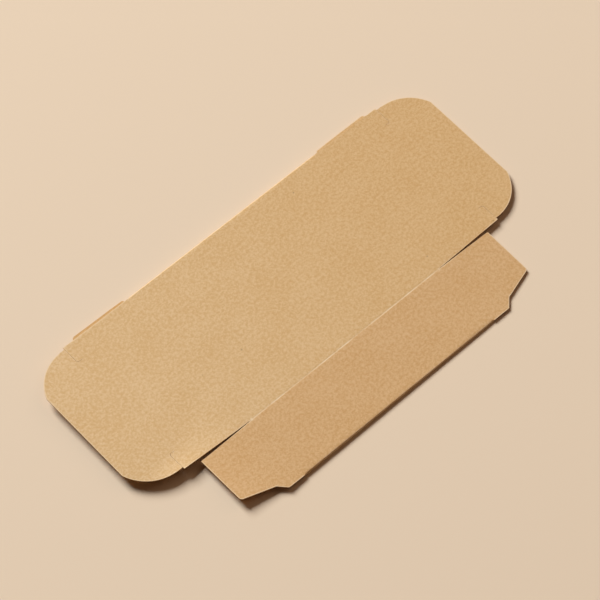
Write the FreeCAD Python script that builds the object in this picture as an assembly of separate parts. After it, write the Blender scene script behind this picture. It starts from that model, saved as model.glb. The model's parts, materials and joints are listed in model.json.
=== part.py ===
import FreeCAD, Part
import math
import os

# Flattened tuck-end carton of brown kraft board, glued along one side and lying flat.
# X runs along the box, Y across it, Z is up. All sizes are in millimetres.
# The upper layer is the broad panel and one side panel. The other side panel and the other
# broad panel are folded under them, and a glue tab joins these two in the lower layer.
# The flat carton has sprung open a little, so the upper broad panel lies parallel to the lower one,
# and the two side panels slope between them.

# Board and box
board = 0.45
panel_length = 100.0
broad_width = 72.4
side_width = 30.8
layer_gap = 0.1
spring_lift = 0.9

# Glue seam
tab_width = 13.0
tab_end_clearance = 0.5
tab_end_angle = 15.0
seam_gap = 0.3
seam_step_run = 1.0

# Creases, pressed in from the outside with a bead on the inside
crease_half_width = 0.4
crease_groove_depth = 0.1
crease_bead_height = 0.12

# Closure panels, one at each end of the broad panel
closure_depth = 32.5
closure_inset_at_crease = 0.35
closure_inset_at_end = 0.75
closure_corner_radius = 0.3

# Tuck flaps, one at the end of each closure panel
tuck_depth = 19.3
tuck_inset = 1.0
tuck_side_run = 1.4
tuck_corner_sweep = 70.0

# Slit locks, cut in from both edges between a closure panel and its tuck flap
slit_length = 8.8
slit_width = 0.12
hook_length = 2.4
hook_radius = 0.9

# Dust flaps, one at each end of each side panel
dust_depth = 25.5
lower_dust_depth = 27.2
dust_straight = 7.9
dust_shoulder = 3.5
dust_taper_angle = 16.5
dust_corner_radius = 1.5
dust_inset_at_crease = 0.15
dust_inset_at_end = 0.35
dust_seam_clearance = 1.3
lower_dust_lip = 0.9
lower_dust_relief = 1.6

# How far the free end of each flap has risen or dropped from the flat
left_end_rise = 2.3
right_end_rise = -0.3
left_dust_rise = 0.8
right_dust_rise = -0.3

# Levels of the stacked board
tab_level = board
upper_level = 2 * board + layer_gap
top_level = upper_level + board
middle_level = (upper_level + top_level) / 2
fold_outer_radius = top_level / 2
fold_inner_radius = fold_outer_radius - board

# Places across and along the box, with the origin under the middle of the whole outline
half_length = panel_length / 2
front_fold_y = -(broad_width + side_width + lower_dust_lip) / 2
crease_y = front_fold_y + side_width
back_fold_y = crease_y + broad_width
seam_y = back_fold_y - side_width
step_end_y = seam_y + seam_step_run
front_centre_y = front_fold_y + fold_outer_radius
back_centre_y = back_fold_y - fold_outer_radius
tuck_crease_x = half_length + closure_depth
flap_reach = closure_depth + tuck_depth

# Slopes of the two side panels, in radians
upper_slope = math.atan(spring_lift / (crease_y - front_centre_y))
lower_slope = math.atan(spring_lift / (back_centre_y - step_end_y))

# Levels that clear the bent upper layer below and above
bend_room = abs(left_end_rise) + abs(right_end_rise) + board
cut_low = upper_level - bend_room
cut_high = top_level + bend_room

UP = FreeCAD.Vector(0, 0, 1)
ALONG = FreeCAD.Vector(1, 0, 0)
ORIGIN = FreeCAD.Vector(0, 0, 0)


def block(x0, x1, y0, y1, z0, z1):
    """Box between two corners."""
    return Part.makeBox(x1 - x0, y1 - y0, z1 - z0, FreeCAD.Vector(x0, y0, z0))


def line(start, end):
    """Straight edge between two points of an outline at Z = 0."""
    return Part.makeLine(FreeCAD.Vector(*start, 0), FreeCAD.Vector(*end, 0))


def arc(start, middle, end):
    """Round edge through three points of an outline at Z = 0."""
    points = [FreeCAD.Vector(*point, 0) for point in (start, middle, end)]
    return Part.Arc(*points).toShape()


def prism(edges, z0, z1):
    """Upright solid between two levels over a closed outline of edges."""
    face = Part.Face(Part.Wire(Part.__sortEdges__(edges)))
    solid = face.extrude(UP * (z1 - z0))
    solid.translate(UP * z0)
    return solid


def rounded_outline(corners):
    """Edges of a closed outline. Each corner is x, y and the radius that rounds it."""
    turns = []
    for index, (x, y, radius) in enumerate(corners):
        here = FreeCAD.Vector(x, y, 0)
        before = FreeCAD.Vector(*corners[index - 1][:2], 0) - here
        after = FreeCAD.Vector(*corners[(index + 1) % len(corners)][:2], 0) - here
        before.normalize()
        after.normalize()
        if radius == 0:
            turns.append((here, here, here))
            continue
        half_angle = before.getAngle(after) / 2
        setback = radius / math.tan(half_angle)
        bisector = (before + after).normalize()
        middle = here + bisector * (radius / math.sin(half_angle) - radius)
        turns.append((here + before * setback, middle, here + after * setback))
    edges = []
    for index, (start, middle, end) in enumerate(turns):
        if start != end:
            edges.append(Part.Arc(start, middle, end).toShape())
        edges.append(Part.makeLine(end, turns[(index + 1) % len(turns)][0]))
    return edges


def section_along_y(points, y0, y1):
    """Bar along Y with a polygon of X and Z points as its section."""
    loop = [FreeCAD.Vector(x, y0, z) for x, z in points]
    return Part.Face(Part.makePolygon(loop + loop[:1])).extrude(FreeCAD.Vector(0, y1 - y0, 0))


def section_along_x(points, x0, x1):
    """Bar along X with a polygon of Y and Z points as its section."""
    loop = [FreeCAD.Vector(x0, y, z) for y, z in points]
    return Part.Face(Part.makePolygon(loop + loop[:1])).extrude(FreeCAD.Vector(x1 - x0, 0, 0))


def sheet_over(edges, end_rise, reach):
    """Upper layer of board over an outline on the right, bent so that its end rises or drops."""
    if end_rise == 0:
        return prism(edges, upper_level, top_level)
    cutter = prism(edges, cut_low, cut_high)
    bend_radius = (reach ** 2 + end_rise ** 2) / (2 * abs(end_rise))
    centre_z = middle_level + math.copysign(bend_radius, end_rise)
    y0 = cutter.BoundBox.YMin - board
    width = cutter.BoundBox.YLength + 2 * board
    centre = FreeCAD.Vector(half_length, y0, centre_z)
    across = FreeCAD.Vector(0, 1, 0)
    outer = Part.makeCylinder(bend_radius + board / 2, width, centre, across)
    inner = Part.makeCylinder(bend_radius - board / 2, width, centre, across)
    return outer.cut(inner).common(cutter)


def rise_at(distance, end_rise, reach):
    """Height that a bent sheet has gained at a distance from its crease."""
    if end_rise == 0:
        return 0.0
    bend_radius = (reach ** 2 + end_rise ** 2) / (2 * abs(end_rise))
    return math.copysign(bend_radius - math.sqrt(bend_radius ** 2 - distance ** 2), end_rise)


def crease_half(x, outwards, rise, y0, y1):
    """Groove to cut and bead to add on one side of a crease that runs along Y."""
    edge_x = x + outwards * crease_half_width
    top = top_level + rise
    above = top + board
    under = upper_level + rise
    inside = under + board / 2
    groove_points = [(x, above), (x, top - crease_groove_depth), (edge_x, top), (edge_x, above)]
    bead_points = [(x, inside), (x, under - crease_bead_height), (edge_x, under), (edge_x, inside)]
    return section_along_y(groove_points, y0, y1), section_along_y(bead_points, y0, y1)


def pressed(solid, x, outwards, rise, y0, y1):
    """Solid with its half of a crease pressed into it."""
    groove, bead = crease_half(x, outwards, rise, y0, y1)
    return solid.fuse(bead).cut(groove).removeSplitter()


def on_side(shape, side):
    """Shape made for the right end, kept there or mirrored to the left end."""
    if side == "right":
        return shape
    return shape.mirror(ORIGIN, ALONG)


def tilted_with_upper_side(shape):
    """Shape of the flat upper layer, turned about the front fold to the slope of the side panel."""
    turned = shape.copy()
    turned.rotate(FreeCAD.Vector(0, front_centre_y, fold_outer_radius), ALONG, math.degrees(upper_slope))
    return turned


def tilted_with_lower_side(shape):
    """Shape of the flat lower layer, lifted and turned about the back fold to its side panel's slope."""
    turned = shape.copy()
    turned.translate(UP * spring_lift)
    centre = FreeCAD.Vector(0, back_centre_y, fold_outer_radius + spring_lift)
    turned.rotate(centre, ALONG, math.degrees(lower_slope))
    return turned


def lifted(shape):
    """Shape of the flat upper layer, lifted to the level of the upper broad panel."""
    raised = shape.copy()
    raised.translate(UP * spring_lift)
    return raised


def fold_ring(centre_y, centre_z, outwards, slope):
    """Round fold along X, less than a half turn, that joins a level panel to a sloping one."""
    centre = FreeCAD.Vector(-half_length, centre_y, centre_z)
    outer = Part.makeCylinder(fold_outer_radius, panel_length, centre, ALONG)
    inner = Part.makeCylinder(fold_inner_radius, panel_length, centre, ALONG)
    room = fold_outer_radius + board
    low_y, high_y = sorted((centre_y, centre_y + outwards * room))
    half = block(-half_length, half_length, low_y, high_y, centre_z - room, centre_z + room)
    turned = half.copy()
    turned.rotate(centre, ALONG, math.degrees(slope))
    return outer.cut(inner).common(half).common(turned)


def radial_points(centre_y, centre_z, turn):
    """Y and Z of the outer and inner face where a fold ends, at an angle from straight up."""
    places = []
    for radius in (fold_outer_radius, fold_inner_radius):
        places.append((centre_y - radius * math.sin(turn), centre_z + radius * math.cos(turn)))
    return places


def upper_side_panel():
    """Side panel that slopes up from the front fold to the upper broad panel."""
    outer, inner = radial_points(front_centre_y, fold_outer_radius, upper_slope)
    high, low = top_level + spring_lift, upper_level + spring_lift
    points = [outer, inner, (crease_y, low), (crease_y, high)]
    return section_along_x(points, -half_length, half_length)


def lower_side_panel():
    """Side panel that slopes up from the glue seam to the back fold."""
    centre_z = fold_outer_radius + spring_lift
    outer, inner = radial_points(back_centre_y, centre_z, math.pi + lower_slope)
    points = [outer, inner, (step_end_y, board), (step_end_y, 0)]
    return section_along_x(points, -half_length, half_length)


def glue_tab():
    """Tab in line with the lower side panel, stepped up onto the lower broad panel."""
    far_y = seam_y - tab_width
    half_root = half_length - tab_end_clearance
    half_tip = half_root - tab_width * math.tan(math.radians(tab_end_angle))
    corners = [(-half_root, seam_y, 0), (half_root, seam_y, 0), (half_tip, far_y, 0), (-half_tip, far_y, 0)]
    tab = prism(rounded_outline(corners), tab_level, tab_level + board)
    step_points = [(seam_y, tab_level), (seam_y, tab_level + board), (step_end_y, board), (step_end_y, 0)]
    step = section_along_x(step_points, -half_root, half_root)
    return tab.fuse(step)


def lower_dust_flap():
    """Right dust flap of the lower side panel, which stays under the closure panel."""
    taper = math.tan(math.radians(dust_taper_angle))
    end_x = half_length + lower_dust_depth
    seam_side_y = seam_y + dust_seam_clearance
    shoulder_x = half_length + dust_straight
    taper_run = lower_dust_depth - dust_straight - dust_shoulder
    lip_y = back_fold_y + lower_dust_lip
    corners = [
        (half_length, seam_side_y, 0),
        (shoulder_x, seam_side_y, 0),
        (shoulder_x + dust_shoulder, seam_side_y + dust_shoulder, 0),
        (end_x, seam_side_y + dust_shoulder + taper_run * taper, dust_corner_radius),
        (end_x, lip_y, dust_corner_radius),
        (half_length + lower_dust_relief, lip_y, 0),
        (half_length, back_fold_y - fold_outer_radius, 0),
    ]
    return tilted_with_lower_side(prism(rounded_outline(corners), 0, board))


def sleeve():
    """Four panels, the glue tab and the two lower dust flaps, folded from one sheet."""
    upper_broad = lifted(block(-half_length, half_length, crease_y, back_centre_y, upper_level, top_level))
    lower_broad = block(-half_length, half_length, front_centre_y, seam_y - seam_gap, 0, board)
    pieces = [upper_side_panel(), lower_broad, lower_side_panel(), glue_tab()]
    pieces.append(fold_ring(front_centre_y, fold_outer_radius, -1, upper_slope))
    pieces.append(fold_ring(back_centre_y, fold_outer_radius + spring_lift, 1, lower_slope))
    pieces += [on_side(lower_dust_flap(), side) for side in ("left", "right")]
    solid = upper_broad.multiFuse(pieces)

    under = upper_level + spring_lift
    top = top_level + spring_lift
    under_points = [
        (crease_y - crease_half_width, under + board / 2),
        (crease_y - crease_half_width, under),
        (crease_y, under - crease_bead_height),
        (crease_y + crease_half_width, under),
        (crease_y + crease_half_width, under + board / 2),
    ]
    groove_points = [
        (crease_y - crease_half_width, top),
        (crease_y, top - crease_groove_depth),
        (crease_y + crease_half_width, top),
        (crease_y, top + board),
    ]
    solid = solid.fuse(section_along_x(under_points, -half_length, half_length))
    solid = solid.cut(section_along_x(groove_points, -half_length, half_length))
    for side in ("left", "right"):
        for place, y0, y1 in (
            (tilted_with_upper_side, front_centre_y, crease_y - crease_half_width),
            (lifted, crease_y + crease_half_width, back_centre_y),
        ):
            groove, bead = crease_half(half_length, -1, 0, y0, y1)
            solid = solid.fuse(on_side(place(bead), side)).cut(on_side(place(groove), side))
    return solid.removeSplitter()


def hook_slot(edge_y, inwards):
    """Knife cut that carries a slit round a small corner into the closure panel."""
    centre_x = tuck_crease_x - hook_radius
    end_y = edge_y + inwards * slit_length
    centre_y = end_y - inwards * hook_radius
    outer_radius = hook_radius + slit_width / 2
    inner_radius = hook_radius - slit_width / 2
    centre = FreeCAD.Vector(centre_x, centre_y, cut_low)
    outer = Part.makeCylinder(outer_radius, cut_high - cut_low, centre)
    inner = Part.makeCylinder(inner_radius, cut_high - cut_low, centre)
    low_y, high_y = sorted((centre_y, centre_y + inwards * 2 * hook_radius))
    quarter = block(centre_x, centre_x + 2 * hook_radius, low_y, high_y, cut_low, cut_high)
    corner = outer.cut(inner).common(quarter)
    hook_x = tuck_crease_x - hook_length
    run = block(hook_x, centre_x, end_y - slit_width / 2, end_y + slit_width / 2, cut_low, cut_high)
    return corner.fuse(run)


def closure_panel(end_rise):
    """Right closure panel, hinged at the end crease of the broad panel."""
    low_y = crease_y + closure_inset_at_end
    high_y = back_fold_y - closure_inset_at_end
    corners = [
        (half_length, crease_y + closure_inset_at_crease, 0),
        (tuck_crease_x, low_y, closure_corner_radius),
        (tuck_crease_x, high_y, closure_corner_radius),
        (half_length, back_fold_y - closure_inset_at_crease, 0),
    ]
    solid = sheet_over(rounded_outline(corners), end_rise, flap_reach)
    solid = solid.cut(hook_slot(low_y, 1)).cut(hook_slot(high_y, -1))
    solid = pressed(solid, half_length, 1, 0, low_y, high_y)
    rise = rise_at(closure_depth, end_rise, flap_reach)
    hinge_low_y = low_y + slit_length + slit_width
    hinge_high_y = high_y - slit_length - slit_width
    return lifted(pressed(solid, tuck_crease_x, -1, rise, hinge_low_y, hinge_high_y))


def tuck_flap(end_rise):
    """Right tuck flap, hinged to the closure panel between its two slits."""
    closure_low_y = crease_y + closure_inset_at_end
    closure_high_y = back_fold_y - closure_inset_at_end
    middle_y = (closure_low_y + closure_high_y) / 2
    half_side = (closure_high_y - closure_low_y) / 2 - tuck_inset
    half_hinge = (closure_high_y - closure_low_y) / 2 - slit_length + hook_radius
    sweep = math.radians(tuck_corner_sweep)
    corner_radius = (tuck_depth - tuck_side_run) / math.sin(sweep)
    arc_x = tuck_crease_x + tuck_side_run
    end_x = tuck_crease_x + tuck_depth
    half_end = half_side - corner_radius * (1 - math.cos(sweep))
    half_middle = half_side - corner_radius * (1 - math.cos(sweep / 2))
    middle_x = arc_x + corner_radius * math.sin(sweep / 2)
    slit_x = tuck_crease_x + slit_width

    edges = [line((end_x, middle_y - half_end), (end_x, middle_y + half_end))]
    edges.append(line((tuck_crease_x, middle_y - half_hinge), (tuck_crease_x, middle_y + half_hinge)))
    for way in (-1, 1):
        hinge_end = (tuck_crease_x, middle_y + way * half_hinge)
        slit_end = (slit_x, middle_y + way * half_hinge)
        side_start = (slit_x, middle_y + way * half_side)
        arc_start = (arc_x, middle_y + way * half_side)
        arc_middle = (middle_x, middle_y + way * half_middle)
        arc_end = (end_x, middle_y + way * half_end)
        edges += [line(hinge_end, slit_end), line(slit_end, side_start), line(side_start, arc_start)]
        edges.append(arc(arc_start, arc_middle, arc_end))
    solid = sheet_over(edges, end_rise, flap_reach)
    rise = rise_at(closure_depth, end_rise, flap_reach)
    return lifted(pressed(solid, tuck_crease_x, 1, rise, middle_y - half_hinge, middle_y + half_hinge))


def dust_flap(end_rise):
    """Right dust flap of the upper side panel, beside the closure panel."""
    taper = math.tan(math.radians(dust_taper_angle))
    end_x = half_length + dust_depth
    shoulder_x = half_length + dust_straight
    taper_run = dust_depth - dust_straight - dust_shoulder
    low_y = front_fold_y
    high_y = crease_y - dust_inset_at_crease
    corners = [
        (half_length, low_y, 0),
        (shoulder_x, low_y, 0),
        (shoulder_x + dust_shoulder, low_y + dust_shoulder, 0),
        (end_x, low_y + dust_shoulder + taper_run * taper, dust_corner_radius),
        (end_x, crease_y - dust_inset_at_end, 0),
        (half_length, high_y, 0),
    ]
    solid = sheet_over(rounded_outline(corners), end_rise, dust_depth)
    solid = pressed(solid, half_length, 1, 0, low_y + fold_outer_radius, high_y - dust_inset_at_end)
    return tilted_with_upper_side(solid)


os.makedirs("parts", exist_ok=True)
nodes = {
    "sleeve": sleeve(),
    "closure_left": on_side(closure_panel(left_end_rise), "left"),
    "closure_right": on_side(closure_panel(right_end_rise), "right"),
    "tuck_flap_left": on_side(tuck_flap(left_end_rise), "left"),
    "tuck_flap_right": on_side(tuck_flap(right_end_rise), "right"),
    "dust_flap_left": on_side(dust_flap(left_dust_rise), "left"),
    "dust_flap_right": on_side(dust_flap(right_dust_rise), "right"),
}
for name, shape in nodes.items():
    shape.exportStep(f"parts/{name}.step")
    print(name, "solids", len(shape.Solids), "volume", round(shape.Volume, 2), "valid", shape.isValid())
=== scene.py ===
import bpy
import json
import math
import numpy as np
from mathutils import Matrix, Vector, noise
from mathutils.geometry import delaunay_2d_cdt


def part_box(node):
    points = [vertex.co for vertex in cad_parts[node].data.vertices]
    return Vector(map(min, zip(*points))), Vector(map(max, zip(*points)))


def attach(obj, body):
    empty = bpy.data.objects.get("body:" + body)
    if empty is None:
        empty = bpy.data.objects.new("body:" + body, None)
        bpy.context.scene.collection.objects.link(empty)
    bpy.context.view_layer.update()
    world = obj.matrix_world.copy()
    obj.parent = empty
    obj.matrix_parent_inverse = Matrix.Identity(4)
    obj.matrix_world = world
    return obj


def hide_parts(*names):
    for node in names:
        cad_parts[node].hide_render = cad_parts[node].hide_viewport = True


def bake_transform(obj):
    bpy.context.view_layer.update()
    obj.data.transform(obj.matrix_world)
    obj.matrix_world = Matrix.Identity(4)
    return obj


# Flattened kraft board carton: board pieces with creases, knife cuts and soft warps around the CAD frame.
# Lengths in this script are in millimetres until mesh points and scene objects are placed.

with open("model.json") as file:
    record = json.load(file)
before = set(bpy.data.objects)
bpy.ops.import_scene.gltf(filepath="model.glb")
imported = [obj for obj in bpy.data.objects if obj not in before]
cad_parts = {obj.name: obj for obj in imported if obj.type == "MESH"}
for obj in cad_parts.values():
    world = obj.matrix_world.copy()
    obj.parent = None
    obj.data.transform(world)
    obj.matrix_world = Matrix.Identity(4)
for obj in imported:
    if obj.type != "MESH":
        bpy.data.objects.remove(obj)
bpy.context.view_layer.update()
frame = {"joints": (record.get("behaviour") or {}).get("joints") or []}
MM = 0.001


def node_box(name):
    """Lowest and highest corner of a CAD node in millimetres."""
    low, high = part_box(name)
    return low / MM, high / MM


# Dimensions read from the frame
closure_low, closure_high = node_box("closure_right")
tuck_high = node_box("tuck_flap_right")[1]
dust_high = node_box("dust_flap_right")[1]
sleeve_low, sleeve_high = node_box("sleeve")
joint_places = {joint["name"]: Vector(joint["pos_m"]) / MM for joint in frame["joints"]}
joint_axes = {joint["name"]: Vector(joint["axis"]) for joint in frame["joints"]}
crease_level = joint_places["closure_right_crease"].z
half_length = joint_places["closure_right_crease"].x
tuck_crease_x = joint_places["tuck_right_crease"].x
side_slope = math.atan2(joint_axes["dust_left_crease"].z, joint_axes["dust_left_crease"].y)
end_x = tuck_high.x
dust_end_x = dust_high.x
lower_dust_end_x = sleeve_high.x
front_fold_y = sleeve_low.y
closure_inset_at_crease = 0.35
crease_y = closure_low.y - closure_inset_at_crease
back_fold_y = closure_high.y + closure_inset_at_crease
seam_y = back_fold_y - (crease_y - front_fold_y)

# Board
board = 0.45
layer_gap = 0.1
fold_outer_radius = (3 * board + layer_gap) / 2
spring_lift = crease_level - 2 * fold_outer_radius
fold_radius = fold_outer_radius - board / 2
upper_mid = crease_level - board / 2
lower_mid = board / 2

# Rounding of a cut edge, and the smaller one of edges in slits, at joins and over the lower flap
edge_round = 0.05
joined_round = 0.006

# Centres of the two pressed folds
front_centre_y = front_fold_y + fold_outer_radius
back_centre_y = back_fold_y - fold_outer_radius

# Cut shapes
closure_inset_at_end = 0.75
closure_back_inset_at_end = 0.45
root_gap = 0.05
tuck_inset = 1.0
tuck_side_run = 1.4
right_tuck_trim = 0.9
right_tuck_spread = 0.8
tuck_corner_sweep = math.radians(70)
slit_length = 8.8
slit_width = 0.03
hook_width = 0.15
hook_length = 2.4
hook_radius = 0.9
hook_step = 0.2
dust_straight = 7.9
dust_shoulder = 3.5
dust_taper = math.tan(math.radians(16.5))
dust_corner_radius = 1.5
dust_inset_at_end = 0.65
lower_dust_relief = 1.6
lower_dust_lip = 0.9
seam_gap = 0.3
lower_dust_seam_gap = 1.3
tab_width = 13.0
tab_end_clearance = 0.5
tab_slope = math.tan(math.radians(15))
seam_step_run = 1.0
crease_half_width = 0.4
strip_setback = 0.3

# Mesh spacing
grid_step = 1.5
fold_step = 0.12
lower_panel_step = 2.0
lower_side_step = 1.0
rim_width = 0.4
rim_clearance = 0.8 * rim_width
grid_clearance = 1.3 * rim_width
crease_rows = 8
crease_rows_width = 2 * crease_half_width
crease_rows_clearance = crease_rows_width + 0.3
merge_distance = 1e-6
keep_inside = 1
sharp_angle = math.radians(30)
end_tolerance = 0.01

# Place of the inner faces in the material's noise, away from the outer faces
inner_side = -40

# Places of the three materials on a piece
face_kind, inside_kind, edge_kind = range(3)

# How deep each crease is pressed into the face, how strongly it marks it with a pale line that is partly
# broken fibres and partly painted highlight, and where its line stops
end_crease_depth = 0.005
panel_crease_depth = 0.05
tuck_crease_depth = 0.004
end_crease_mark = 0.03
panel_crease_mark = 1.0
tuck_crease_mark = 0.02
# The folds' pale mark: partly broken fibres, partly painted highlight on their rounded backs
fold_whitening_and_highlight = 0.3
crease_stop_margin = 1

# Strength of the painted highlight on cut rims that lie in shade and are darker than an open edge, and how
# far from a line a rule for rims holds
slit_rim = 0.15
gap_rim = 0.2
covered_rim = 0.05
rim_margin = 0.1
crease_margin = 0.2
join_margin = 0.5

# Warps of the board that the flat shape lacks
fold_lift_at_end = 0.25
lower_flap_lift = 0.4
lower_flap_run = 8.0
curl_height = 1.36
curl_root_width = 25.0
curl_end_width = 10.0
tuck_droop = 0.3
dust_corner_lift = 1.8
dust_inner_drop = 0.05
dust_lift_power = 1.5
curl_power = 1.2
broad_wave_height = 0.04
broad_wave_size = 22
broad_wave_seed = 3.0
small_wave_height = 0.012
small_wave_size = 6
small_wave_seed = 8.0

# Rise of the free ends
flap_reach = end_x - half_length
dust_reach = dust_end_x - half_length
end_rise = {-1: 2.3, 1: -0.3}
dust_rise = {-1: 0.8, 1: -0.3}


def rise_at(distance, rise, reach):
    """Height that a sheet bent to an arc has gained at a distance from its crease."""
    if rise == 0 or distance <= 0:
        return 0.0
    radius = (reach ** 2 + rise ** 2) / (2 * abs(rise))
    return math.copysign(radius - math.sqrt(radius ** 2 - distance ** 2), rise)


def soft_noise(x, y, size, seed):
    """Smooth noise from -1 to 1 whose bumps are about size millimetres across."""
    return noise.noise(Vector((x / size, y / size, seed)))


# Outlines


def arc_points(centre, radius, start, sweep, step=0.8):
    """Points on an arc, angles in radians, both ends included."""
    count = max(2, math.ceil(abs(sweep) * radius / step))
    angles = [start + sweep * index / count for index in range(count + 1)]
    return [(centre[0] + radius * math.cos(a), centre[1] + radius * math.sin(a)) for a in angles]


def rounded(before, corner, after, radius, step=0.3):
    """Points that round the corner between two neighbours."""
    here = Vector(corner)
    to_before = (Vector(before) - here).normalized()
    to_after = (Vector(after) - here).normalized()
    half_angle = to_before.angle(to_after) / 2
    setback = radius / math.tan(half_angle)
    centre = here + (to_before + to_after).normalized() * radius / math.sin(half_angle)
    first = here + to_before * setback - centre
    last = here + to_after * setback - centre
    start = math.atan2(first.y, first.x)
    sweep = (math.atan2(last.y, last.x) - start + math.pi) % (2 * math.pi) - math.pi
    return arc_points(centre, radius, start, sweep, step)


def with_steps(points, step=1.0):
    """Closed outline with its long straight stretches divided."""
    out = []
    for index, point in enumerate(points):
        following = points[(index + 1) % len(points)]
        length = math.dist(point, following)
        count = max(1, math.ceil(length / step))
        for part in range(count):
            share = part / count
            out.append((point[0] + (following[0] - point[0]) * share,
                        point[1] + (following[1] - point[1]) * share))
    return out


def mirrored(points):
    """Outline for the left end, kept counterclockwise."""
    return [(-x, y) for x, y in reversed(points)]


def hook_cut(edge_y, way, half_gap):
    """Points along one side of the knife cut that ends a slit in a hook, half a gap from its middle."""
    end_y = edge_y + way * slit_length
    centre = (tuck_crease_x - hook_radius, end_y - way * hook_radius)
    points = arc_points(centre, hook_radius - half_gap, 0, way * math.pi / 2, hook_step)
    points.append((tuck_crease_x - hook_length, end_y - way * half_gap))
    return points


def closure_outline():
    """Right closure panel with the crease strip that joins it to the broad panel."""
    low_y = crease_y + closure_inset_at_end
    high_y = back_fold_y - closure_back_inset_at_end
    start_x = half_length - crease_half_width
    low_cut = hook_cut(low_y, 1, hook_width / 2)
    high_cut = hook_cut(high_y, -1, hook_width / 2)
    strip_x = tuck_crease_x - crease_half_width
    low_notch_y = low_y + slit_length + slit_width / 2
    high_notch_y = high_y - slit_length - slit_width / 2
    points = [(start_x, crease_y + root_gap / 2), (half_length, crease_y + root_gap)]
    points += [(tuck_crease_x, low_y)]
    points += low_cut
    points += [(tuck_crease_x - hook_length, low_notch_y), (strip_x, low_notch_y)]
    points += [(strip_x, high_notch_y), (tuck_crease_x - hook_length, high_notch_y)]
    points += list(reversed(high_cut))
    points += [(tuck_crease_x, high_y), (half_length, back_fold_y - closure_inset_at_crease)]
    points += [(start_x, back_fold_y - closure_inset_at_crease)]
    return points


def tuck_outline():
    """Right tuck flap with the crease strip that joins it to the closure panel."""
    low_y = crease_y + closure_inset_at_end
    high_y = back_fold_y - closure_back_inset_at_end
    middle_y = (low_y + high_y) / 2
    half_side = (high_y - low_y) / 2 - tuck_inset
    strip_x = tuck_crease_x - crease_half_width
    slit_x = tuck_crease_x + slit_width
    depth = end_x - tuck_crease_x
    radius = (depth - tuck_side_run) / math.sin(tuck_corner_sweep)
    arc_x = tuck_crease_x + tuck_side_run
    notch = (high_y - low_y) / 2 - slit_length - slit_width / 2
    low_centre = (arc_x, middle_y - half_side + radius)
    high_centre = (arc_x, middle_y + half_side - radius)
    points = [(strip_x, middle_y - notch)]
    hook = [p for p in hook_cut(low_y, 1, -slit_width / 2)[:-1] if p[0] > strip_x]
    points += list(reversed(hook))
    points += [(slit_x, low_y + slit_length - hook_radius), (slit_x, middle_y - half_side)]
    points += arc_points(low_centre, radius, -math.pi / 2, tuck_corner_sweep)
    points += arc_points(high_centre, radius, math.pi / 2 - tuck_corner_sweep, tuck_corner_sweep)
    points += [(slit_x, middle_y + half_side), (slit_x, high_y - slit_length + hook_radius)]
    points += [p for p in hook_cut(high_y, -1, -slit_width / 2)[:-1] if p[0] > strip_x]
    points += [(strip_x, middle_y + notch)]
    return points


def right_tuck_shape(points):
    """The right tuck flap's own cut: its front corner is trimmed back and its back corner stands wider."""
    shaped = []
    for x, y in points:
        past = max(0.0, x - tuck_crease_x - tuck_side_run) / (end_x - tuck_crease_x - tuck_side_run)
        back_share = (y - crease_y) / (back_fold_y - crease_y)
        trim = right_tuck_trim * past * (1 - back_share)
        spread = right_tuck_spread * past * back_share
        shaped.append((x - trim, y + spread))
    return shaped


def dust_outline():
    """Right dust flap with the crease strip that joins it to the side panel."""
    start_x = half_length - crease_half_width
    shoulder_x = half_length + dust_straight
    taper_run = dust_reach - dust_straight - dust_shoulder
    taper_start = (shoulder_x + dust_shoulder, front_fold_y + dust_shoulder)
    tip = (dust_end_x, front_fold_y + dust_shoulder + taper_run * dust_taper)
    inner = (dust_end_x, crease_y - dust_inset_at_end)
    points = [(start_x, front_fold_y + strip_setback), (half_length, front_fold_y)]
    points += [(shoulder_x, front_fold_y), taper_start]
    points += rounded(taper_start, tip, inner, dust_corner_radius)
    points += [inner, (half_length, crease_y - root_gap)]
    points += [(start_x, crease_y - root_gap / 2)]
    return points


# Board meshes


def inside(points, outline):
    """Which points lie in the closed outline."""
    x = points[:, 0][:, None]
    y = points[:, 1][:, None]
    x0, y0 = outline[:, 0][None], outline[:, 1][None]
    following = np.roll(outline, -1, 0)
    x1, y1 = following[:, 0][None], following[:, 1][None]
    crosses = (y0 > y) != (y1 > y)
    rise = np.where(y1 == y0, 1e-9, y1 - y0)
    hits = crosses & (x < (x1 - x0) * (y - y0) / rise + x0)
    return hits.sum(1) % 2 == 1


def distance_to(points, outline):
    """Distance of each point from the closed outline."""
    start = outline[None]
    run = np.roll(outline, -1, 0)[None] - start
    offset = points[:, None] - start
    share = np.clip((offset * run).sum(2) / np.maximum((run ** 2).sum(2), 1e-12), 0, 1)
    return np.sqrt(((offset - share[..., None] * run) ** 2).sum(2)).min(1)


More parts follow.
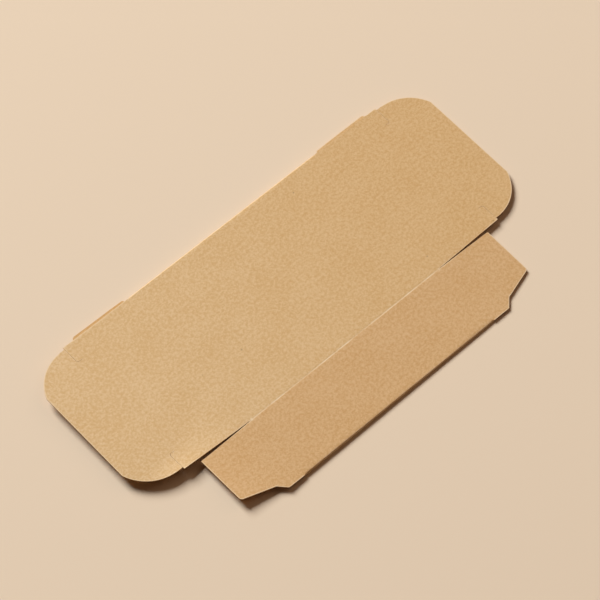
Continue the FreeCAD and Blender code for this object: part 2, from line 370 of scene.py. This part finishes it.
def sheet(name, outline, place, marks, rim_mark, columns, rows):
    """Closed board mesh over an outline.

    place(x, y) gives the middle surface and its outward normal. marks(x, y) gives the place on the
    flat blank across the board and how strongly a crease marks the face there, with pale fibres and
    painted highlight. rim_mark(x, y) says how strong the painted highlight on the cut rim is, which
    is 0 where the piece joins the next one.
    """
    outline = np.array(with_steps(outline), float)
    run = np.roll(outline, -1, 0) - np.roll(outline, 1, 0)
    inward = np.stack([-run[:, 1], run[:, 0]], 1)
    inward /= np.maximum(np.linalg.norm(inward, axis=1), 1e-9)[:, None]
    joined = np.array([rim_mark(*point) == 0 for point in outline])
    rim = (outline + inward * rim_width)[~joined]
    grid = np.array([(x, y) for x in columns for y in rows], float)
    grid = grid[distance_to(grid, outline) > grid_clearance]
    extra = [rim[distance_to(rim, outline) > rim_clearance]]
    if joined.any():
        # Straight rows of points beside a crease, so that the board bends along the line
        extra += [outline[joined] + inward[joined] * (crease_rows_width * step / crease_rows)
                  for step in range(1, crease_rows + 1)]
        apart = np.linalg.norm(grid[:, None] - outline[joined][None], axis=2).min(1)
        grid = grid[apart > crease_rows_clearance]
    extra = np.concatenate(extra + [grid])
    extra = extra[inside(extra, outline)]
    points = np.concatenate([outline, extra])
    count = len(outline)
    result = delaunay_2d_cdt([Vector(p) for p in points], [], [list(range(count))],
                             keep_inside, merge_distance)
    flat = [tuple(p) for p in result[0]]
    faces = [tuple(f) for f in result[2]]
    origin = {}
    for index, sources in enumerate(result[3]):
        for source in sources:
            origin.setdefault(source, index)
    loop = [origin[index] for index in range(count)]
    border = set(loop)

    bevel = [edge_round if rim_mark(*point) > slit_rim else joined_round for point in outline]
    shift = {loop[index]: inward[index] * bevel[index] for index in range(count)}
    verts = []
    blank = []
    edge = []
    crease = []

    def add(x, y, level, amount, side):
        middle, normal = place(x, y)
        blank_y, crease_mark = marks(x, y)
        verts.append((middle + normal * level) * MM)
        blank.append((x, blank_y, side))
        edge.append(amount * rim_mark(x, y) if amount else 0.0)
        crease.append(crease_mark)
        return len(verts) - 1

    half = board / 2
    outer = []
    inner = []
    for index, (x, y) in enumerate(flat):
        on_border = index in border
        move = shift[index] if on_border else (0, 0)
        outer.append(add(x + move[0], y + move[1], half, float(on_border), 0))
        inner.append(add(x + move[0], y + move[1], -half, float(on_border), inner_side))
    high = [add(*outline[i], half - bevel[i], 1.0, 0) for i in range(count)]
    low = [add(*outline[i], bevel[i] - half, 1.0, inner_side) for i in range(count)]

    polygons = []
    kinds = []
    for face in faces:
        polygons.append([outer[i] for i in face])
        kinds.append(face_kind)
    for face in faces:
        polygons.append([inner[i] for i in reversed(face)])
        kinds.append(inside_kind)
    for index in range(count):
        after = (index + 1) % count
        a, b = loop[index], loop[after]
        for upper, lower in (((outer[a], outer[b]), (high[index], high[after])),
                             ((high[index], high[after]), (low[index], low[after])),
                             ((low[index], low[after]), (inner[a], inner[b]))):
            polygons.append([upper[0], lower[0], lower[1], upper[1]])
            kinds.append(edge_kind)

    mesh = bpy.data.meshes.new(name)
    mesh.from_pydata([tuple(v) for v in verts], [], polygons)
    mesh.polygons.foreach_set("material_index", kinds)
    mesh.polygons.foreach_set("use_smooth", [True] * len(polygons))
    places = mesh.attributes.new("blank", "FLOAT_VECTOR", "POINT")
    places.data.foreach_set("vector", np.array(blank, np.float32).ravel())
    for attribute_name, values in (("edge", edge), ("crease", crease)):
        amounts = mesh.attributes.new(attribute_name, "FLOAT", "POINT")
        amounts.data.foreach_set("value", np.array(values, np.float32))
    mesh.set_sharp_from_angle(angle=sharp_angle)
    for material in materials:
        mesh.materials.append(material)
    mesh.validate()
    piece = bpy.data.objects.new(name, mesh)
    bpy.context.scene.collection.objects.link(piece)
    return piece


def spaced(start, end, step):
    """Evenly spaced values between two ends, both left out."""
    count = max(1, round(abs(end - start) / step))
    return [start + (end - start) * index / count for index in range(1, count)]


def near(place):
    """Extra grid lines close to a crease."""
    return [place + share * crease_half_width for share in (-2, -1, -0.5, 0, 0.5, 1, 2)]


# Shape of the upper layer


def mark_over(offset):
    """Strength of a crease's mark, from 1 on the line to 0 beside it."""
    return max(0.0, 1 - abs(offset) / crease_half_width)


def base_height(y):
    """Height of the middle of the upper layer where it lies as glued, before flaps and warps."""
    if y >= crease_y:
        return upper_mid
    start_y = front_centre_y - fold_radius * math.sin(side_slope)
    start_z = fold_outer_radius + fold_radius * math.cos(side_slope)
    return start_z + (upper_mid - start_z) * (y - start_y) / (crease_y - start_y)


def fold_lift(x, y):
    """Extra height where the front fold has opened more at the left end than at the right."""
    share = min(1.0, max(0.0, (crease_y - y) / (crease_y - front_fold_y)))
    return -fold_lift_at_end * x / half_length * share


def left_warp(x, y):
    """Extra height of the left flaps: the closure's front corner and the dust flap's outer one curl up."""
    distance = -x - half_length
    if distance <= 0:
        return 0.0
    if y < crease_y:
        along = min(1.0, distance / dust_reach)
        outward = (crease_y - y) / (crease_y - front_fold_y)
        lift = (dust_corner_lift + dust_inner_drop) * outward * along ** dust_lift_power
        return lift - dust_inner_drop * along ** 2
    along = min(1.0, distance / (tuck_crease_x - half_length))
    past_crease = max(0.0, -x - tuck_crease_x) / (end_x - tuck_crease_x)
    width = curl_root_width + (curl_end_width - curl_root_width) * along
    inward = max(0.0, 1 - (y - crease_y) / width)
    curl = curl_height * along ** curl_power * inward ** 2 * (1 - past_crease)
    return curl - tuck_droop * past_crease ** 2


def upper_height(x, y):
    """Height of the middle of the upper layer above the surface that the carton lies on."""
    side = 1 if x > 0 else -1
    distance = abs(x) - half_length
    height = base_height(y) + fold_lift(x, y) + left_warp(x, y)
    if y > crease_y:
        height += rise_at(distance, end_rise[side], flap_reach)
    else:
        height += rise_at(distance, dust_rise[side], dust_reach)
    broad_wave = broad_wave_height * soft_noise(x, y, broad_wave_size, broad_wave_seed)
    small_wave = small_wave_height * soft_noise(x, y, small_wave_size, small_wave_seed)
    height += broad_wave + small_wave
    height -= end_crease_depth * mark_over(distance)
    height -= panel_crease_depth * mark_over(y - crease_y)
    if abs(y - crease_y) > slit_length + crease_stop_margin and abs(back_fold_y - y) > slit_length:
        height -= tuck_crease_depth * mark_over(abs(x) - tuck_crease_x)
    return height


def upper_place(x, y):
    """Point and normal of the upper layer's middle surface."""
    step = 0.05
    slope_x = (upper_height(x + step, y) - upper_height(x - step, y)) / (2 * step)
    slope_y = (upper_height(x, y + step) - upper_height(x, y - step)) / (2 * step)
    return Vector((x, y, upper_height(x, y))), Vector((-slope_x, -slope_y, 1)).normalized()


# Places across the sleeve's flat blank, as distances from its edge at the glue seam
front_start = seam_y - seam_gap - front_centre_y
front_end = front_start + (math.pi - side_slope) * fold_radius
crease_at = front_end + crease_y - front_centre_y
back_start = crease_at + back_centre_y - crease_y
back_end = back_start + (math.pi - side_slope) * fold_radius
seam_at = back_end + back_centre_y - seam_y
sheet_end = seam_at + tab_width


def fold_point(centre_y, centre_z, angle, outwards):
    """Point and normal on a fold's arc. The angle runs from straight down to straight up."""
    normal = Vector((0, outwards * math.sin(angle), -math.cos(angle)))
    return Vector((0, centre_y, centre_z)) + normal * fold_radius, normal


def lower_side_point(y):
    """Point and normal of the lower side panel and its dust flaps, which slope up to the back fold."""
    start_y = seam_y + seam_step_run
    end_y = back_centre_y + fold_radius * math.sin(side_slope)
    end_z = fold_outer_radius + spring_lift - fold_radius * math.cos(side_slope)
    height = lower_mid + (end_z - lower_mid) * (y - start_y) / (end_y - start_y)
    return Vector((0, y, height)), Vector((0, math.sin(side_slope), -math.cos(side_slope)))


def lower_flap_rise(x, y):
    """Height that a lower dust flap has sprung up towards the closure panel above it."""
    distance = abs(x) - half_length
    share = min(1.0, distance / lower_flap_run) * (y - seam_y) / (back_fold_y - seam_y)
    follow = rise_at(distance, end_rise[-1], flap_reach) if x < 0 else 0.0
    return (lower_flap_lift + follow) * share


def sleeve_place(x, distance):
    """Point and normal of the sleeve's middle surface over its flat blank."""
    along = Vector((x, 0, 0))
    back_y = back_centre_y - (distance - back_end)
    if abs(x) > half_length + end_tolerance:
        point, normal = lower_side_point(back_y)
        return point + along + Vector((0, 0, lower_flap_rise(x, back_y))), normal
    if distance <= front_start:
        return Vector((x, seam_y - seam_gap - distance, lower_mid)), Vector((0, 0, -1))
    if distance < front_end:
        angle = (distance - front_start) / fold_radius
        point, normal = fold_point(front_centre_y, fold_outer_radius, angle, -1)
        share = (point.z - lower_mid) / (2 * fold_radius)
        return point + along + Vector((0, 0, fold_lift(x, front_fold_y) * share)), normal
    if distance <= back_start:
        return upper_place(x, front_centre_y + distance - front_end)
    if distance < back_end:
        angle = math.pi - (distance - back_start) / fold_radius
        point, normal = fold_point(back_centre_y, fold_outer_radius + spring_lift, angle, 1)
        return point + along, normal
    if back_y >= seam_y + seam_step_run:
        point, normal = lower_side_point(back_y)
        return point + along, normal
    share = min(1.0, (seam_y + seam_step_run - back_y) / seam_step_run)
    return Vector((x, back_y, lower_mid + board * share)), Vector((0, 0, -1))


def upper_marks(x, y):
    """Place across the blank and crease mark on the upper layer."""
    distance = front_end + y - front_centre_y
    end_mark = end_crease_mark * mark_over(abs(x) - half_length)
    panel_mark = panel_crease_mark * mark_over(y - crease_y)
    tuck_mark = tuck_crease_mark * mark_over(abs(x) - tuck_crease_x)
    return distance, max(end_mark, panel_mark, tuck_mark)


def sleeve_marks(x, distance):
    """Place across the blank and crease mark on the sleeve."""
    if front_end < distance < back_start:
        return upper_marks(x, front_centre_y + distance - front_end)
    in_fold = front_start < distance < front_end or back_start < distance < back_end
    return distance, fold_whitening_and_highlight if in_fold and abs(x) <= half_length else 0.0


def sleeve_rim(x, distance):
    """Strength of the painted highlight on the sleeve's rim. It joins the flaps along the ends of the upper
    layer.
    """
    joins = abs(x) <= half_length and front_end - join_margin < distance < back_start + join_margin
    return 0.0 if joins else 1.0


def dust_rim(x, y):
    """Strength of the painted highlight on a dust flap's rim, which joins the sleeve at its crease."""
    if abs(x) < half_length + crease_margin:
        return 0.0
    return gap_rim if crease_y - y < dust_inset_at_end + rim_margin else 1.0


def closure_rim(x, y):
    """Strength of the painted highlight on the rim of a closure panel or tuck flap, which join each other
    between the slits.
    """
    from_edge = min(y - crease_y, back_fold_y - y) - closure_inset_at_end
    beside_tuck_crease = abs(abs(x) - tuck_crease_x) < hook_length + rim_margin
    if abs(x) < half_length + crease_margin or beside_tuck_crease and from_edge > slit_length + hook_width:
        return 0.0
    if y - crease_y < closure_inset_at_end + rim_margin and abs(x) < dust_end_x:
        return gap_rim
    over_lower_flap = half_length < x < lower_dust_end_x
    if over_lower_flap and back_fold_y - y < closure_back_inset_at_end + rim_margin:
        return covered_rim
    return slit_rim if beside_tuck_crease and from_edge > rim_margin else 1.0


def sleeve_outline():
    """Blank of the four panels, the glue tab and the lower dust flaps."""
    strip_x = half_length - crease_half_width
    half_root = half_length - tab_end_clearance
    half_tip = half_root - tab_width * tab_slope
    taper_start_y = seam_y + lower_dust_seam_gap
    shoulder_x = half_length + dust_straight
    taper_run = lower_dust_end_x - half_length - dust_straight - dust_shoulder

    def at(y):
        return back_end + back_centre_y - y

    lip_at = at(back_fold_y + lower_dust_lip)
    tip = (lower_dust_end_x, at(taper_start_y + dust_shoulder + taper_run * dust_taper))
    lip_start = (half_length + lower_dust_relief, lip_at)
    lip_corner = (lower_dust_end_x, lip_at)
    shoulder = (shoulder_x + dust_shoulder, at(taper_start_y + dust_shoulder))
    points = [(half_length, 0), (half_length, front_end), (strip_x, front_end + strip_setback)]
    points += [(strip_x, back_start - strip_setback), (half_length, back_start)]
    points += [(half_length, at(back_centre_y)), lip_start]
    points += rounded(lip_start, lip_corner, tip, dust_corner_radius)
    points += rounded(lip_corner, tip, shoulder, dust_corner_radius)
    points += [shoulder, (shoulder_x, at(taper_start_y)), (half_length, at(taper_start_y))]
    points += [(half_length, seam_at - seam_step_run), (half_root, seam_at), (half_tip, sheet_end)]
    return points + mirrored(points)


# Materials


class Nodes:
    """Short helper around a material's node tree."""

    def __init__(self, name):
        self.material = bpy.data.materials.new(name)
        self.material.use_nodes = True
        self.tree = self.material.node_tree
        self.shader = self.tree.nodes["Principled BSDF"]

    def link(self, output, target):
        self.tree.links.new(output, target)

    def add(self, kind, **settings):
        node = self.tree.nodes.new(kind)
        for key, value in settings.items():
            setattr(node, key, value)
        return node

    def math(self, operation, first, second=None, third=None):
        node = self.add("ShaderNodeMath", operation=operation)
        for socket, value in zip(node.inputs, (first, second, third)):
            if value is None:
                continue
            if isinstance(value, (int, float)):
                socket.default_value = value
            else:
                self.link(value, socket)
        return node.outputs[0]

    def noise(self, vector, scale, detail=2.0, roughness=0.5):
        node = self.add("ShaderNodeTexNoise")
        node.inputs["Scale"].default_value = scale
        node.inputs["Detail"].default_value = detail
        node.inputs["Roughness"].default_value = roughness
        self.link(vector, node.inputs["Vector"])
        return node.outputs["Fac"]

    def mapping(self, vector, angle, scale, shift=(0, 0, 0)):
        node = self.add("ShaderNodeMapping")
        node.inputs["Rotation"].default_value = (0, 0, angle)
        node.inputs["Scale"].default_value = scale
        node.inputs["Location"].default_value = shift
        self.link(vector, node.inputs["Vector"])
        return node.outputs[0]

    def ramp(self, value, low, high, low_value=0.0, high_value=1.0):
        node = self.add("ShaderNodeMapRange", interpolation_type="SMOOTHSTEP")
        self.link(value, node.inputs["Value"])
        limits = {"From Min": low, "From Max": high, "To Min": low_value, "To Max": high_value}
        for key, number in limits.items():
            node.inputs[key].default_value = number
        return node.outputs[0]

    def mix(self, share, first, second, blend="MIX"):
        node = self.add("ShaderNodeMix", data_type="RGBA", blend_type=blend)
        factor, colour_a, colour_b = node.inputs[0], node.inputs[6], node.inputs[7]
        for socket, value in ((factor, share), (colour_a, first), (colour_b, second)):
            if isinstance(value, (int, float)):
                socket.default_value = value
            elif isinstance(value, tuple):
                socket.default_value = (*value, 1)
            else:
                self.link(value, socket)
        return node.outputs[2]


def linear(red, green, blue):
    """Linear colour of an 8-bit sRGB one."""
    return tuple(((c / 255 + 0.055) / 1.055) ** 2.4 for c in (red, green, blue))


def paper_tone(nodes, place, base, mottle, grain, fibres):
    """Colour of the plain face: broad clouds, mottle, grain and fibres between a dark and a light tone."""
    cloud = nodes.noise(place, cloud_scale, detail=3, roughness=0.6)
    light = nodes.math("MULTIPLY_ADD", nodes.math("SUBTRACT", cloud, 0.5), cloud_share, middle_light)
    light = nodes.math("MULTIPLY_ADD", nodes.math("SUBTRACT", mottle, 0.5), mottle_share, light)
    light = nodes.math("MULTIPLY_ADD", nodes.math("SUBTRACT", grain, 0.5), grain_share, light)
    light = nodes.math("MULTIPLY_ADD", nodes.ramp(fibres, low=0.58, high=0.75), fibre_share, light)
    dark_tone = tuple(c * share for c, share in zip(base, dark_shares))
    light_tone = tuple(c * share for c, share in zip(base, light_shares))
    return nodes.mix(light, dark_tone, light_tone)


def with_painted_shading(nodes, place, colour):
    """Colour with painted light at the left end fading to painted shade at the right end, and painted shade
    that makes the side panel darker and redder.
    """
    across = nodes.add("ShaderNodeSeparateXYZ")
    nodes.link(place, across.inputs[0])
    # Painted shade over the side panel and its dust flaps, fading out across its crease
    side_limits = (crease_at - side_shade_before, crease_at + side_shade_after)
    is_side = nodes.ramp(across.outputs["Y"], *side_limits, low_value=1.0, high_value=0.0)
    # Painted light at the left end fading to painted shade at the right end
    along = nodes.ramp(across.outputs["X"], -end_x, end_x)
    shade = nodes.mix(along, left_end_painted_light, right_end_painted_shade)
    return nodes.mix(1.0, colour, nodes.mix(is_side, shade, side_panel_painted_shade), "MULTIPLY")


def with_specks(nodes, place, base, colour):
    """Colour with a few dark specks, in about one cell of eight."""
    cells = nodes.add("ShaderNodeTexVoronoi", feature="F1")
    cells.inputs["Scale"].default_value = speck_scale
    nodes.link(place, cells.inputs["Vector"])
    chance = nodes.add("ShaderNodeSeparateColor")
    nodes.link(cells.outputs["Color"], chance.inputs[0])
    chosen = nodes.ramp(chance.outputs[0], low=0.86, high=0.9)
    spot = nodes.ramp(cells.outputs["Distance"], low=0.035, high=0.07, low_value=1.0, high_value=0.0)
    speck = nodes.math("MULTIPLY", nodes.math("MULTIPLY", spot, chosen), speck_strength)
    return nodes.mix(speck, colour, tuple(c * speck_tone for c in base))


def add_relief(nodes, mottle, grain, fibres):
    """Fine relief of the face, and a roughness that follows the mottle."""
    grains = nodes.math("MULTIPLY", grain, grain_relief)
    relief = nodes.math("ADD", grains, nodes.math("MULTIPLY", fibres, fibre_relief))
    relief = nodes.math("MULTIPLY_ADD", mottle, mottle_relief, relief)
    bump = nodes.add("ShaderNodeBump")
    bump.inputs["Strength"].default_value = relief_strength
    bump.inputs["Distance"].default_value = relief_height
    nodes.link(relief, bump.inputs["Height"])
    nodes.link(bump.outputs[0], nodes.shader.inputs["Normal"])
    roughness = nodes.ramp(mottle, low=0.2, high=0.8, low_value=0.72, high_value=0.88)
    nodes.link(roughness, nodes.shader.inputs["Roughness"])


def board_material(name, base, painted_highlight_colour):
    """Kraft board: cloudy formation, mottle, fibres, specks, a painted highlight on cut rims, and crease
    lines that are partly pale fibres and partly painted highlight.
    """
    nodes = Nodes(name)
    place = nodes.add("ShaderNodeAttribute", attribute_name="blank").outputs["Vector"]
    edge = nodes.add("ShaderNodeAttribute", attribute_name="edge").outputs["Fac"]
    crease = nodes.add("ShaderNodeAttribute", attribute_name="crease").outputs["Fac"]
    mottle = nodes.noise(place, mottle_scale, detail=3, roughness=0.65)
    grain = nodes.noise(place, grain_scale, detail=3, roughness=0.7)
    fibres = None
    for index, angle in enumerate(fibre_angles):
        shift = (index * fibre_shift[0], index * fibre_shift[1], 0)
        layer = nodes.noise(nodes.mapping(place, angle, fibre_stretch, shift), 1.0)
        fibres = layer if fibres is None else nodes.math("MAXIMUM", fibres, layer)
    colour = paper_tone(nodes, place, base, mottle, grain, fibres)
    colour = with_painted_shading(nodes, place, colour)
    colour = with_specks(nodes, place, base, colour)
    # Crease lines lightened: partly pale broken fibres, partly painted highlight
    patches = nodes.noise(place, crease_noise_scale, detail=3, roughness=0.6)
    patches = nodes.ramp(patches, low=0.35, high=0.65, low_value=0.25, high_value=0.95)
    colour = nodes.mix(nodes.math("MULTIPLY", crease, patches), colour, painted_highlight_colour)
    # Painted highlight along the cut rims, weaker where a rim lies in shade
    colour = nodes.mix(nodes.math("MULTIPLY", edge, rim_highlight_strength), colour, painted_highlight_colour)
    nodes.link(colour, nodes.shader.inputs["Base Color"])
    add_relief(nodes, mottle, grain, fibres)
    nodes.shader.inputs["Specular IOR Level"].default_value = board_specular
    return nodes.material


# Tones of the board, with the painted highlight, the painted shade of the side panel and the painted light
# and shade along the carton
kraft = (0.645, 0.412, 0.197)
# Colour of the painted highlight on cut rims and creases
painted_highlight = (0.84, 0.65, 0.42)
brown = (0.6, 0.35, 0.14)
# Painted shade: the side panel and its dust flaps darker and redder than the broad panel
side_panel_painted_shade = (0.976, 0.915, 0.873)
# Painted light that makes the left end lighter and cooler, painted shade that makes the right end darker
# and warmer
left_end_painted_light = (1.03, 1.05, 1.09)
right_end_painted_shade = (0.955, 0.92, 0.86)
dark_shares = (0.925, 0.87, 0.75)
light_shares = (1.075, 1.13, 1.25)

# Texture of the board. A scale is for each millimetre, a share is a layer's part in how light the face is
cloud_scale = 0.06
mottle_scale = 0.8
grain_scale = 2.0
crease_noise_scale = 0.12
speck_scale = 0.16
fibre_angles = (0.15, 1.2, 2.3)
fibre_stretch = (0.5, 4.0, 1)
fibre_shift = (13.7, 5.1)
middle_light = 0.45
cloud_share = 0.9
mottle_share = 3.9
grain_share = 5.0
fibre_share = 0.5
speck_strength = 0.55
speck_tone = 0.35
rim_highlight_strength = 0.95
side_shade_before = 0.3
side_shade_after = 0.1
grain_relief = 0.6
fibre_relief = 0.6
mottle_relief = 0.8
relief_strength = 0.5
relief_height = 0.00006
board_specular = 0.25
materials = (board_material("board_face", kraft, painted_highlight),
             board_material("board_inside", brown, brown),
             board_material("board_edge", brown, brown))

# Pieces

sleeve_columns = spaced(-lower_dust_end_x, -half_length, grid_step)
sleeve_columns += spaced(-half_length, half_length, grid_step)
sleeve_columns += spaced(half_length, lower_dust_end_x, grid_step) + near(half_length) + near(-half_length)
sleeve_rows = spaced(0, front_start, lower_panel_step) + spaced(front_start, front_end, fold_step)
sleeve_rows += [front_start, front_end]
sleeve_rows += spaced(front_end, crease_at, grid_step) + near(crease_at)
sleeve_rows += spaced(crease_at, back_start, grid_step) + [back_start, back_end]
sleeve_rows += spaced(back_start, back_end, fold_step) + spaced(back_end, sheet_end, lower_side_step)
sleeve = sheet("sleeve_board", sleeve_outline(), sleeve_place, sleeve_marks, sleeve_rim,
               sorted(sleeve_columns), sorted(sleeve_rows))
for polygon in sleeve.data.polygons:
    # The upward side of the right lower dust flap takes the tone of the closure panel above it
    if polygon.material_index == inside_kind and polygon.center.x > half_length * MM:
        polygon.material_index = face_kind
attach(sleeve, "sleeve")
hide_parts("sleeve")

closure_columns = near(half_length) + spaced(half_length, tuck_crease_x, grid_step) + near(tuck_crease_x)
closure_rows = spaced(crease_y, back_fold_y, grid_step)
tuck_columns = near(tuck_crease_x) + spaced(tuck_crease_x, end_x, grid_step)
dust_columns = near(half_length) + spaced(half_length, dust_end_x, grid_step)
dust_rows = spaced(front_fold_y, crease_y, grid_step)
for side, word in ((-1, "left"), (1, "right")):
    turn = mirrored if side < 0 else list

    def on_side(values):
        return sorted(side * value for value in values)

    closure = sheet(f"closure_{word}_board", turn(closure_outline()), upper_place, upper_marks, closure_rim,
                    on_side(closure_columns), closure_rows)
    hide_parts(f"closure_{word}")
    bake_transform(closure)
    tuck_shape = mirrored(tuck_outline()) if side < 0 else right_tuck_shape(tuck_outline())
    tuck = sheet(f"tuck_flap_{word}_board", tuck_shape, upper_place, upper_marks, closure_rim,
                 on_side(tuck_columns), closure_rows)
    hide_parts(f"tuck_flap_{word}")
    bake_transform(tuck)
    dust = sheet(f"dust_flap_{word}_board", turn(dust_outline()), upper_place, upper_marks, dust_rim,
                 on_side(dust_columns), dust_rows)
    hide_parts(f"dust_flap_{word}")
    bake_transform(dust)

# Floor

floor_mesh = bpy.data.meshes.new("floor")
floor_reach = 3.0
floor_corners = [(floor_reach * x, floor_reach * y, 0) for x, y in ((-1, -1), (1, -1), (1, 1), (-1, 1))]
floor_mesh.from_pydata(floor_corners, [], [(0, 1, 2, 3)])
floor = bpy.data.objects.new("floor", floor_mesh)
bpy.context.scene.collection.objects.link(floor)
floor_nodes = Nodes("floor")
floor_colour = linear(226, 203, 177)
floor_roughness = 0.9
floor_specular = 0.1
floor_nodes.shader.inputs["Base Color"].default_value = (*floor_colour, 1)
floor_nodes.shader.inputs["Roughness"].default_value = floor_roughness
floor_nodes.shader.inputs["Specular IOR Level"].default_value = floor_specular
floor_mesh.materials.append(floor_nodes.material)

# Light

world_colour = (1.0, 0.62, 0.38)
world_strength = 0.06
world = bpy.data.worlds.new("world")
bpy.context.scene.world = world
world.use_nodes = True
background = world.node_tree.nodes["Background"]
background.inputs["Color"].default_value = (*world_colour, 1)
background.inputs["Strength"].default_value = world_strength


def area_light(name, towards, distance, size, power, colour):
    """Square soft light that faces the carton from a direction."""
    data = bpy.data.lights.new(name, "AREA")
    data.size = size
    data.energy = power
    data.color = colour
    light = bpy.data.objects.new(name, data)
    direction = Vector(towards).normalized()
    light.location = direction * distance
    light.rotation_mode = "QUATERNION"
    light.rotation_quaternion = direction.to_track_quat("Z", "Y")
    bpy.context.scene.collection.objects.link(light)


area_light("key", towards=(0.0, 1.0, 0.8), distance=5.0, size=2.3, power=391, colour=(0.921, 0.972, 1.0))
area_light("fill", towards=(1.0, -0.1, 0.8), distance=4.0, size=3.0, power=25, colour=(1.0, 0.7, 0.5))

# Camera at the photograph's angle

azimuth = math.radians(-42.42)
elevation = math.radians(60.12)
camera_distance = 1.122
camera_target = Vector((0.61, 6.08, 0)) * MM
sensor_width = 36
image_width = 600
pixels_per_mm = 2.5601
back = Vector((math.sin(azimuth) * math.cos(elevation),
               -math.cos(azimuth) * math.cos(elevation),
               math.sin(elevation)))
camera_data = bpy.data.cameras.new("camera")
camera_data.sensor_width = sensor_width
camera_data.lens = sensor_width * pixels_per_mm * (camera_distance / MM) / image_width
camera = bpy.data.objects.new("camera", camera_data)
camera.location = camera_target + back * camera_distance
camera.rotation_mode = "QUATERNION"
right = Vector((math.cos(azimuth), math.sin(azimuth), 0))
up = back.cross(right)
camera.rotation_quaternion = Matrix((right, up, back)).transposed().to_quaternion()
camera_data.clip_start = 0.01
camera_data.clip_end = 20
bpy.context.scene.collection.objects.link(camera)
bpy.context.scene.camera = camera
bpy.context.scene.view_settings.view_transform = "Standard"
